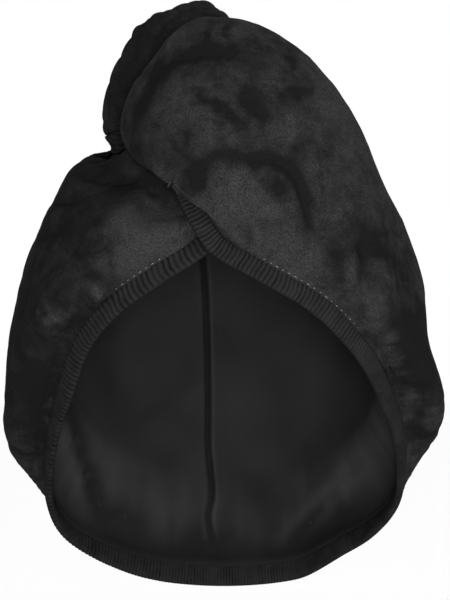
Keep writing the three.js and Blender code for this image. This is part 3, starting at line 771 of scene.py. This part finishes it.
def gathers(along, down, to_twist, bearing, seed):
    """Height of the gathers by the band, of the longer folds that they run into, and of those
    that are drawn together at the twist. Lengths are in metres."""
    place = np.stack([along + 0 * down, down + 0 * along], axis=-1)
    sway, wide_sway = drift(place, 22 * mm, seed), drift(place, 50 * mm, seed + 1)
    patch = 0.55 + 0.45 * drift(place, 26 * mm, seed + 2)
    wide_patch = 0.5 + 0.5 * drift(place, 60 * mm, seed + 3)
    total = 0.8 * np.exp(-down / (5 * mm)) * ridged(along / (4.4 * mm) + 0.5 * sway)
    tucks = 1.7 * patch**2 * smooth(down, 1 * mm, 6 * mm) * np.exp(-down / (12 * mm))
    total = total + tucks * ridged(along / (12 * mm) + 1.3 * sway)
    folds = 1.1 * wide_patch * smooth(down, 4 * mm, 16 * mm) * np.exp(-down / (26 * mm))
    total = total + folds * ridged(along / (29 * mm) + 0.8 * wide_sway)
    turns = bearing / (2 * math.pi)
    twist = turns + to_twist / (480 * mm)
    total = total + 1.1 * np.exp(-to_twist / (12 * mm)) * ridged(26 * twist + 0.8 * sway)
    total = total + 2.0 * wide_patch * np.exp(-to_twist / (30 * mm)) * ridged(11 * twist + 1.1 * wide_sway)
    return total * mm


def rumples(points, seed):
    """Low swells and small dents of soft cloth."""
    bent = points + 6 * mm * np.stack([drift(points, 30 * mm, seed + k) for k in (1, 2, 3)], axis=-1)
    total = 0.9 * drift(bent, 34 * mm, seed + 4) + 0.45 * (0.5 - np.abs(drift(bent, 17 * mm, seed + 5)))
    total = total + 0.3 * (0.4 - np.abs(drift(bent, 8 * mm, seed + 6)))
    total = total + 0.1 * drift(bent, 3.5 * mm, seed + 7)
    return total * mm


lining_tree = BVHTree.FromPolygons(
    [tuple(v.co) for v in lining.data.vertices], [tuple(f.vertices) for f in lining.data.polygons]
)


def outside_lining(grid, down):
    """The grid with each point at least a cloth's thickness further out than the lining."""
    d = unit(grid - head_centre)
    reach = np.linalg.norm(grid - head_centre, axis=-1)
    limit = np.zeros(reach.shape)
    centre, far = Vector(head_centre.tolist()), 0.4
    for k, aim in enumerate(d.reshape(-1, 3).tolist()):
        aim = Vector(aim)
        spot = lining_tree.ray_cast(centre + aim * far, -aim, far)[0]
        if spot is not None:
            limit.flat[k] = (spot - centre).length
    slope = np.clip(np.abs(np.sum(d * grid_normals(grid), axis=-1)), 0.45, 1)
    limit = (limit + (cloth_wall + 0.6 * mm) / slope) * (limit > 0)
    brow = smooth(grid[..., 2], -90 * mm, -60 * mm)
    fade = mix(smooth(down, -1 * mm, 0.5 * mm), smooth(down, 2 * mm, 9 * mm), brow)
    push = np.maximum(limit - reach, 0) * fade
    return head_centre + d * (reach + push)[..., None]


def dressed(grid, shares, down, to_twist, table, seed, amount):
    """The panel's grid with its folds, creases and gathers, kept still where amount is 0, and its painted
    shade in their hollows and painted light on their crests.
    """
    normals = grid_normals(grid)
    d = unit(grid - head_centre)
    along = shares[None] * edge_length
    height = gathers(along, down, to_twist, bearing_of(d), seed) + rumples(grid, seed + 20)
    height = height * smooth(down, -2 * mm, 6 * mm) + drawn(grid, normals, table) * mm
    height = height * smooth(to_twist, -1 * mm, 5 * mm) * amount
    room = np.linalg.norm(grid - head_centre, axis=-1) - snug_radius(d)
    room = 0.7 * np.maximum(room, 0) * smooth(down, 8 * mm, 60 * mm) + 0.2 * mm
    height = np.maximum(height, -room)
    # Painted shade in the hollows of the folds, painted light on their crests.
    light = 0.09 * (height - blurred(height, 6)) / mm
    return outside_lining(grid + normals * height[..., None], down), light


seam_share = seam_gap / edge_length
seam_bearing = seam_gap / (throat_radius * math.sin(ring_angle))
left_creases = [
    (-3.5, 3, [(-62, -20), (-50, -18), (-41, -17), (-33, -20), (-28, -23)]),
    (-1.8, 2.5, [(-58, -16), (-46, -15), (-39, -16)]),
    (-2.6, 4, [(-68, -60), (-64, -54), (-59, -48)]),
    (2.5, 8, [(-64, -47), (-55, -40), (-44, -31), (-31, -25)]),
    (-2.6, 4, [(-97, -72), (-89, -62), (-79, -53)]),
    (1.6, 5, [(-93, -75), (-85, -65), (-76, -56)]),
    (-3, 3, [(-73, -67), (-67, -65), (-63, -66), (-61, -74)]),
    (4, 5, [(-68, -71), (-65, -76), (-63, -82)]),
    (4, 6, [(-89, -84), (-85, -88), (-81, -93)]),
    (-3, 4, [(-92, -82), (-86, -79), (-80, -78)]),
    (-3, 4, [(-95, -114), (-89, -118), (-85, -121)]),
    (-5, 6, [(-107, -132), (-98, -131), (-90, -132)]),
    (-3, 4, [(-98, -144), (-94, -147), (-90, -151)]),
    (-3, 4, [(-96, -161), (-94, -173), (-93, -181)]),
    (-5, 4, [(-93, -180), (-90, -185), (-87, -190)]),
    (-1.6, 4, [(-41, -31), (-40, -45), (-37, -54)]), (-2.2, 3, [(-78, -14), (-68, -17), (-58, -18)]),
    (-2.2, 3, [(-92, -30), (-80, -30), (-70, -26)]), (-2, 3.5, [(-100, -50), (-90, -46), (-80, -40)]),
]
# Strokes of painted light and shade on the left panel: share of light, half width, and a line on the front
# view.
left_painted_strokes = [
    (0.75, 16, [(-22, -31), (-33, -44), (-48, -60), (-58, -72)]),
    (0.25, 8, [(-32, -29), (-44, -38), (-56, -48)]),
    (0.4, 4, [(-88, -60), (-82, -54)]), (0.55, 3, [(-67, -68), (-65, -80)]),
    (0.6, 4, [(-91, -84), (-85, -90)]), (0.5, 2.5, [(-94, -131), (-92, -133)]),
    (0.5, 2, [(-93, -142), (-92, -145)]), (0.5, 2.5, [(-96, -161), (-94, -172)]),
    (-0.3, 4, [(-73, -66), (-62, -64)]), (-0.25, 8, [(-100, -112), (-92, -140)]),
]


def left_grid():
    """The left panel from the centre back to its end under the right one, and its painted light and shade.
    """
    last = cross_bearing - 2 * math.pi - math.radians(under_sweep)

    def build(s, rows):
        shares = band_shares(nape_at - seam_share, 0, s)
        bearings = mix(-seam_bearing, last, s)
        angles = -math.radians(55) * smooth(s, 0.82, 1)

        def radius_at(d):
            clear = smooth(lap_distance(d), lap_shelf, lap_shelf + lap_valley)
            return mix(lap_floor(d), hood_radius(d), clear)

        return shares, *panel_grid(shares, bearings, angles, radius_at, rows)

    rough = np.linspace(0, 1, 700)
    s = even(rough, build(rough, 7)[1][2:], 331)
    shares, grid, down, to_twist = build(s, 171)
    bare = smooth(lap_distance(unit(grid - head_centre)), 1 * mm, 9 * mm)
    # Painted light: the left panel is painted dark in front, away from the light, lighter towards the back,
    # with strokes of painted light and shade.
    tone_and_painted_light = 0.14 + 0.36 * smooth(grid[..., 1], 0, 60 * mm) + drawn(grid, grid_normals(grid), left_painted_strokes, 4)
    sheet, light = dressed(grid, shares, down, to_twist, left_creases, 40, 0.15 + 0.85 * bare)
    return sheet, tone_and_painted_light + light


left_sheet, left_painted_light = left_grid()
left = wall_piece("left_hood_cloth", left_sheet, cloth_wall)
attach(left, "root")
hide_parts("left_panel")
left_area = sheet_area(left_sheet)
store_painted_light(left, left_painted_light)

# Short black pile: patches of it lie flat and look dark, the rest stands up and catches the light in
# fine specks. The specks are painted glints, and the stored painted light and shade set where it looks lit.
place, surface = finish("black_pile")
tone_and_painted_light = place.tone_and_painted_light()
crushed = place.noise(60, 4.0, 0.9).between(0.3, 0.7)
small = place.noise(190, 2.0, 0.5)
speck = place.noise(1350, 1.0).between(0.3, 0.7)
patchy = tone_and_painted_light * (1 - tone_and_painted_light) * 1.6 + tone_and_painted_light * 0.15 + 0.1
uneven = ((crushed - 0.5) * 0.8 + (small - 0.5) * 1.2) * patchy
# Painted light and shade from the stored attribute, broken by random crushed patches; painted glints in the
# fine specks.
standing_and_lit = (tone_and_painted_light + uneven).between(0.08, 0.78)
light = standing_and_lit * (speck * 0.75 + 0.3) + speck * 0.12
pile = surface(
    Base_Color=light.tint((0.0042, 0.0042, 0.0044), (0.0215, 0.0215, 0.0222)),
    Roughness=0.9 - standing_and_lit * 0.15,
    IOR=1.05,
    Normal=(speck * 0.7 + small * 0.5).relief(0.45, 0.6 * mm),
)
left.data.materials.append(pile)

# Right panel
# The other half, of the same towelling. It laps over the left one above the brow: its free edge
# is rolled under into a soft thick rim that runs up to the twist and hides where they meet.

lap_gap, roll, plain_lines = 1.2 * mm, 17 * mm, 32
fan_from, fan_step, fan_lines, fan_first = 0.9, 0.0012, 7, 35
corner_shift = np.array([0.5, -1.0, -4.5]) * mm
right_creases = [
    (-3.0, 6, [(-46, 14), (-45, 20), (-41, 31), (-33, 42), (-23, 46), (-8, 48), (3, 46), (16, 41)]),
    (2.2, 3, [(-18, 30), (-8, 25), (2, 20), (10, 11)]),
    (-3, 6, [(6, 30), (15, 22), (20, 11), (13, -1)]),
    (-1.6, 3, [(-18, 27), (-9, 22), (1, 16), (7, 9)]),
    (-3.2, 5, [(-10, -7), (7, -7), (27, -8), (35, -14), (39, -23), (42, -35), (48, -47)]),
    (2.4, 4, [(19, -13), (29, -16), (36, -28), (39, -42)]),
    (-2.2, 7, [(24, -20), (29, -27)]),
    (-2, 8, [(-25, -17), (-17, -18), (-10, -20)]),
    (2.2, 4, [(6, -36), (14, -40), (18, -47), (16, -54)]),
    (-1.6, 2.5, [(12, -35), (19, -40), (21, -49)]),
    (3.5, 5, [(52, -49), (62, -54), (65, -62), (65, -80)]),
    (-3, 4, [(56, -52), (58, -60), (56, -72)]),
    (-3.5, 5, [(71, -48), (73, -60), (74, -76)]),
    (3, 5, [(76, -55), (81, -66), (86, -80)]),
    (3.5, 8, [(73, -80), (82, -93), (89, -106), (83, -117)]),
    (-2.6, 3, [(68, -71), (68, -80), (70, -90)]),
    (-5, 5, [(88, -146), (96, -149), (106, -150)]),
    (-2.6, 4, [(91, -158), (96, -160), (101, -163)]),
    (-2.6, 4, [(90, -169), (94, -171), (98, -175)]),
]
# Strokes of painted light and shade on the right panel: share of light, half width, and a line on the front
# view.
right_painted_strokes = [
    (-0.7, 7, [(-47, -8), (-48, 10), (-45, 24), (-37, 36), (-25, 45), (-8, 49), (6, 47), (22, 38)]),
    (-0.35, 9, [(-48, 4), (-38, -4), (-28, -9), (-18, -6)]),
    (-0.55, 3, [(-21, 29), (-10, 22), (0, 16), (12, 5)]),
    (0.3, 3, [(-20, 32), (-5, 24), (10, 12)]), (-0.7, 10, [(2, 29), (12, 20), (19, 8)]),
    (-0.3, 8, [(-30, 6), (-20, 8), (-12, 2)]), (-0.75, 11, [(-20, -13), (-14, -17), (-9, -22)]),
    (-0.65, 6, [(-20, -4), (-6, -6), (10, -6), (26, -9), (35, -14), (41, -26), (44, -38), (54, -56)]),
    (-0.55, 8, [(20, -15), (26, -22), (32, -31)]), (-0.6, 12, [(68, -34), (76, -48), (84, -64), (90, -84)]),
    (-0.5, 6, [(-11, 56), (-6, 55)]), (-0.45, 5, [(0, 60), (6, 60)]), (-0.45, 5, [(10, 55), (24, 54)]),
    (-0.5, 7, [(30, 48), (36, 43)]), (-0.55, 8, [(29, 31), (37, 27)]), (-0.4, 5, [(44, 28), (36, 33)]),
    (-0.22, 24, [(26, 10), (50, -4), (70, -24)]), (-0.4, 8, [(58, -48), (58, -70)]),
    (0.25, 10, [(40, 46), (56, 26), (64, 10)]), (0.2, 9, [(0, -12), (14, -22), (18, -38), (20, -54)]),
    (-0.8, 19, [(98, -78), (101, -105), (103, -140)]), (0.25, 4, [(62, -52), (66, -72)]),
    (0.4, 3.5, [(79, -58), (88, -78)]), (0.3, 6, [(76, -86), (86, -102)]),
    (0.5, 3, [(90, -133), (98, -130)]), (-0.5, 7, [(90, -145), (106, -151)]),
]
band_end_point, _, _, band_end_across = band_frame(np.array(1.0))
band_end = band_end_point + band_end_across * band_width / 2 - head_centre
band_end_reach = float(np.linalg.norm(band_end))
band_end = unit(band_end)


def right_floor(d):
    """Lowest reach of the right panel's outer side, clear of the band's end and the left panel."""
    top = band_end_reach + band_thickness + 2 * lap_gap + cloth_wall
    beyond = smooth(angle_to(d, band_end) * band_end_reach, 0.8 * band_width, 3.4 * band_width)
    return mix(top, lap_floor(d) + lap_gap + cloth_wall, beyond)


def right_grid():
    """The right panel from the centre back to its free edge, which fans out from the band's end, and its
    painted light and shade.
    """
    beside = plain_lines / (plain_lines + fan_lines)

    def build(s, rows):
        shares = np.where(
            s < beside,
            band_shares(nape_at + seam_share, 1 - fan_lines * fan_step, np.clip(s / beside, 0, 1)),
            mix(1 - fan_lines * fan_step, 1, (s - beside) / (1 - beside)),
        )
        bearings = mix(seam_bearing, cross_bearing, s)
        fan = np.clip((s - fan_from) / (1 - fan_from), 0, 1)
        angles = np.radians(mix(fan_first * smooth(s, 0.75, fan_from), free_edge_lean, fan))

        def radius_at(d):
            away = mix(2 * roll, np.abs(lap_distance(d)) * (s < 1), smooth(s, 0.45, 0.7))
            low = right_floor(d)
            x = 1 - np.clip(away / roll, 0, 1)
            return mix(low, np.maximum(hood_radius(d), low), np.sqrt(np.maximum(0, 1 - x * x)))

        return shares, *panel_grid(shares, bearings, angles, radius_at, rows)

    rough = np.linspace(0, 1, 900)
    s = even(rough, build(rough, 7)[1][2:], 371)
    shares, grid, down, to_twist = build(s, 171)
    to_corner = np.linalg.norm(grid - grid[2, -1], axis=-1)
    corner = bump(to_corner, 17 * mm) * smooth(down, -4 * mm, 0)
    grid = grid + corner_shift * corner[..., None]
    to_corner = np.linalg.norm(grid - grid[2, -1], axis=-1)
    tucked = 3 * mm * bump(to_corner[:2], 8 * mm)
    grid[:2] -= unit(grid[:2] - head_centre) * tucked[..., None]
    calm = 1 - bump(np.linalg.norm(grid - grid[2, -1], axis=-1), 9 * mm)
    away = np.abs(lap_distance(unit(grid - head_centre)))
    free = mix(1, smooth(away, 0, 10 * mm), smooth(s, 0.45, 0.7))
    # Painted light: the right panel is painted light in front, where the light falls, darker towards the
    # back, with strokes of painted shade in its valleys and painted highlights on its ridges.
    tone_and_painted_light = 0.64 - 0.14 * smooth(grid[..., 1], 0, 60 * mm) + drawn(grid, grid_normals(grid), right_painted_strokes, 4)
    sheet, light = dressed(grid, shares, down, to_twist, right_creases, 80, (0.1 + 0.9 * free) * calm)
    return sheet, tone_and_painted_light + light


right_sheet, right_painted_light = right_grid()
right = wall_piece("right_hood_cloth", right_sheet, cloth_wall)
right.data.materials.append(pile)
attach(right, "root")
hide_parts("right_panel")
right_area = sheet_area(right_sheet)
store_painted_light(right, right_painted_light)

# Tail
# The loose ends of both panels, twisted together into a soft rope. It comes out of the twist,
# lies back over the crown, and flattens to a tab at the nape.

tail_turns, tail_groove, on_hood, spare_side = 2.4, 0.2, 0.6 * mm, (340, 20)

# The tail's way as rows of turn and rise in degrees, height over the hood, width and thickness, the
# last three as shares of its diameter.
tail_way = np.array([
    (254, 66, -0.25, 0.7, 0.7), (254, 66.5, 0.08, 0.72, 0.72), (268, 74, 0.42, 0.92, 0.9),
    (262, 80.5, 0.68, 1.04, 1.04), (215, 78.5, 0.74, 1.1, 1.06), (188, 66, 0.45, 1.04, 0.92),
    (180, 48, 0.37, 1, 0.86), (180, 27, 0.3, 0.92, 0.76), (180, 5, 0.26, 0.82, 0.64),
    (180, -14, 0.2, 0.72, 0.44), (179, -28, 0.14, 0.62, 0.24), (178, -42, 0.13, 0.6, 0.18),
])


def tail_grid():
    """Sections of the rope along its way, with the grooves of the twist and the pleats in them."""
    around, steps, first_lying = 144, 38, 5
    d = direction(tail_way[:, 0], tail_way[:, 1])
    sink = tail_gap * (np.arange(len(tail_way)) >= first_lying)
    places = head_centre + d * (hood_radius(d) + tail_way[:, 2] * tail_diameter - sink)[:, None]
    way = through(places, steps)
    n = len(way)
    x = np.linspace(0, 1, n)
    row = x * (len(tail_way) - 1)
    rows = np.arange(len(tail_way))
    width = np.interp(row, rows, tail_way[:, 3]) * tail_diameter / 2
    height = np.interp(row, rows, tail_way[:, 4]) * tail_diameter / 2
    along = unit(np.gradient(way, axis=0))
    out = head_normal(unit(way - head_centre))
    side = np.cross(along, out)
    short = np.linalg.norm(side, axis=-1, keepdims=True) < 0.3
    side = unit(np.where(short, np.cross(along, direction(*spare_side)), side))
    out = unit(np.cross(side, along))
    a = 2 * np.pi * np.arange(around) / around
    a, xx = np.meshgrid(a, x)
    lying = smooth(row, 1, 3)[:, None]
    thick = smooth(np.interp(row + 1, rows, tail_way[:, 4]), 0.2, 0.6)[:, None]
    turn = a - 2 * np.pi * tail_turns * xx
    place = np.stack([np.cos(turn) * 14 * mm, np.sin(turn) * 14 * mm, xx * 300 * mm], axis=-1)
    sway = drift(place, 18 * mm, 120)
    groove = 0.5 + 0.5 * np.cos(2 * turn + 0.4 * sway)
    pleat = 0.034 * ridged(7 * turn / (2 * np.pi) + 0.7 * sway)
    pleat = pleat + 0.018 * ridged(17 * turn / (2 * np.pi) + 1.1 * sway)
    bent = row[:, None] * 2.1 + 0.5 * sway + a / (2 * np.pi)
    across_fold = 0.028 * bump(row - 2.6, 1.6)[:, None] * ridged(bent)
    r = 0.97 - tail_groove * groove**1.5 * lying * thick + pleat * (0.3 + 0.7 * thick) + across_fold
    r = r + 0.03 * drift(place, 9 * mm, 121)
    close = smooth(np.minimum(xx, 1 - xx), 0, 0.006)
    r = r * (0.55 + 0.45 * np.sqrt(close))
    p = way[:, None] + side[:, None] * (r * width[:, None] * np.cos(a))[..., None]
    p = p + out[:, None] * (r * height[:, None] * np.sin(a))[..., None] - head_centre
    reach = np.linalg.norm(p, axis=-1)
    p = unit(p)
    clear = np.where(angle_to(p, throat) > ring_angle, hood_radius(p) + on_hood, 0)
    return head_centre + p * np.maximum(reach, clear)[..., None]


tail = tube_piece("twisted_tail", tail_grid())
tail.data.materials.append(pile)
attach(tail, "root")
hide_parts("tail")
# Painted shade: the tail is painted darkest at its front end, where it lies in shade, and lighter from the
# crown back.
tail_y = np.array([v.co.y for v in tail.data.vertices])
store_painted_light(tail, 0.48 * smooth(tail_y, -35 * mm, 45 * mm), wall=False)

# Button
# A plain moulded button with a raised rim and four holes, sewn on over the tail's flat tip.

button_diameter, button_thickness, above_tip = 22 * mm, 4 * mm, 6
hole_place, hole_rim, hole_depth, inner_level = 0.16, (0.07, 0.13), 0.55, 0.3

# Half the button's section as shares of its radius and of half its thickness, from the back outwards.
button_section = [
    (0.86, -1), (0.97, -0.85), (1, -0.5), (1, 0.45), (0.97, 0.8), (0.9, 1), (0.82, 0.98), (0.76, 0.8),
    (0.7, 0.45), (0.6, 0.34), (0.45, inner_level), (0.3, inner_level), (0.15, inner_level),
]


def button_mesh():
    """The button's section turned round its axis, with four dips for the holes."""
    tip = tail_way[-1]
    d = direction(tip[0], tip[1] + above_tip)
    axis = head_normal(d)
    rest = 0.5 * tip[4] * tail_diameter + seam_gap + button_thickness / 2
    middle = head_centre + d * (hood_radius(d) + tip[2] * tail_diameter) + axis * rest
    across = unit(np.cross(axis, up))
    upward = np.cross(across, axis)
    around = 64
    points, faces = [], []
    a = 2 * np.pi * np.arange(around) / around
    for share, high in button_section:
        for angle in a:
            x, y = share * math.cos(angle), share * math.sin(angle)
            hole = math.hypot(abs(x) - hole_place, abs(y) - hole_place)
            dip = hole_depth * float(1 - smooth(hole, *hole_rim)) if 0 < high < 0.5 else 0
            place = middle + (across * x + upward * y) * button_diameter / 2
            points.append(place + axis * (high - dip) * button_thickness / 2)
    rings = len(button_section)
    for i in range(rings - 1):
        for j in range(around):
            k = (j + 1) % around
            faces.append([i * around + j, i * around + k, (i + 1) * around + k, (i + 1) * around + j])
    points += [middle - axis * button_thickness / 2, middle + axis * inner_level * button_thickness / 2]
    low, high = len(points) - 2, len(points) - 1
    for j in range(around):
        k = (j + 1) % around
        faces.append([low, k, j])
        faces.append([high, (rings - 1) * around + j, (rings - 1) * around + k])
    return np.array(points), faces


button = mesh_piece("tail_button", *button_mesh())
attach(button, "root")
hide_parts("button")
place, surface = finish("moulded_black")
mottle = place.noise(600, 2.0)
moulded = surface(
    Base_Color=mottle.tint((0.012, 0.012, 0.012), (0.022, 0.022, 0.022)),
    Roughness=mottle * 0.15 + 0.5,
    IOR=1.25,
    Normal=mottle.relief(0.1, 0.2 * mm),
)
button.data.materials.append(moulded)

# Studio
# A wide pale floor well below the wrap, in a white room. Two large soft lamps stand in front of it,
# one to the right and above, and a long lens looks at it level.

floor_half, floor_level = 20, -0.5
corners = [(x * floor_half, y * floor_half, floor_level) for x, y in ((-1, -1), (1, -1), (1, 1), (-1, 1))]
floor_mesh = bpy.data.meshes.new("pale_floor")
floor_mesh.from_pydata(corners, [], [(0, 1, 2, 3)])
floor_sheet = bpy.data.objects.new("pale_floor", floor_mesh)
bpy.context.collection.objects.link(floor_sheet)
place, surface = finish("white_paper")
paper = place.noise(900, 2.0).tint((0.96, 0.96, 0.96), (0.98, 0.98, 0.98))
floor_mesh.materials.append(surface(Base_Color=paper, Roughness=0.9))
floor_sheet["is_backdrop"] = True


def lamp(name, location, target, size, power):
    """A round soft lamp that faces its target."""
    light_data = bpy.data.lights.new(name, "AREA")
    light_data.shape, light_data.size, light_data.energy = "DISK", size, power
    new = bpy.data.objects.new(name, light_data)
    new.location = location
    aim = np.array(target) - np.array(location)
    new.rotation_mode = "QUATERNION"
    new.rotation_quaternion = Vector(aim.tolist()).to_track_quat("-Z", "Y")
    bpy.context.collection.objects.link(new)


lamp("key_lamp", (1.6, -2.0, 0.6), (0, 0, -0.08), 1.2, 30)
lamp("front_lamp", (0.1, -2.8, -0.06), (0, 0, -0.12), 0.7, 90)
world = bpy.context.scene.world or bpy.data.worlds.new("studio")
bpy.context.scene.world = world
world.use_nodes = True
room = world.node_tree.nodes["Background"]
room.inputs["Color"].default_value = (1, 1, 1, 1)
room.inputs["Strength"].default_value = 1.0

# The picture's full height shows 309 mm at the wrap.
picture_height, film_height = 309 * mm, 36
camera_data = bpy.data.cameras.new("camera")
camera_data.sensor_width = film_height
camera_data.lens = film_height * camera_distance / picture_height
camera_data.clip_start, camera_data.clip_end = 0.1, 20
camera = bpy.data.objects.new("camera", camera_data)
camera.location = (0, -camera_distance, camera_height)
camera.rotation_euler = (math.pi / 2, 0, 0)
bpy.context.collection.objects.link(camera)
bpy.context.scene.camera = camera
bpy.context.scene.view_settings.view_transform = "Standard"

visual_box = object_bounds()
boxes = {"cad": cad_box, "visual": visual_box}
{name: [list(corner) for corner in box] for name, box in boxes.items()}
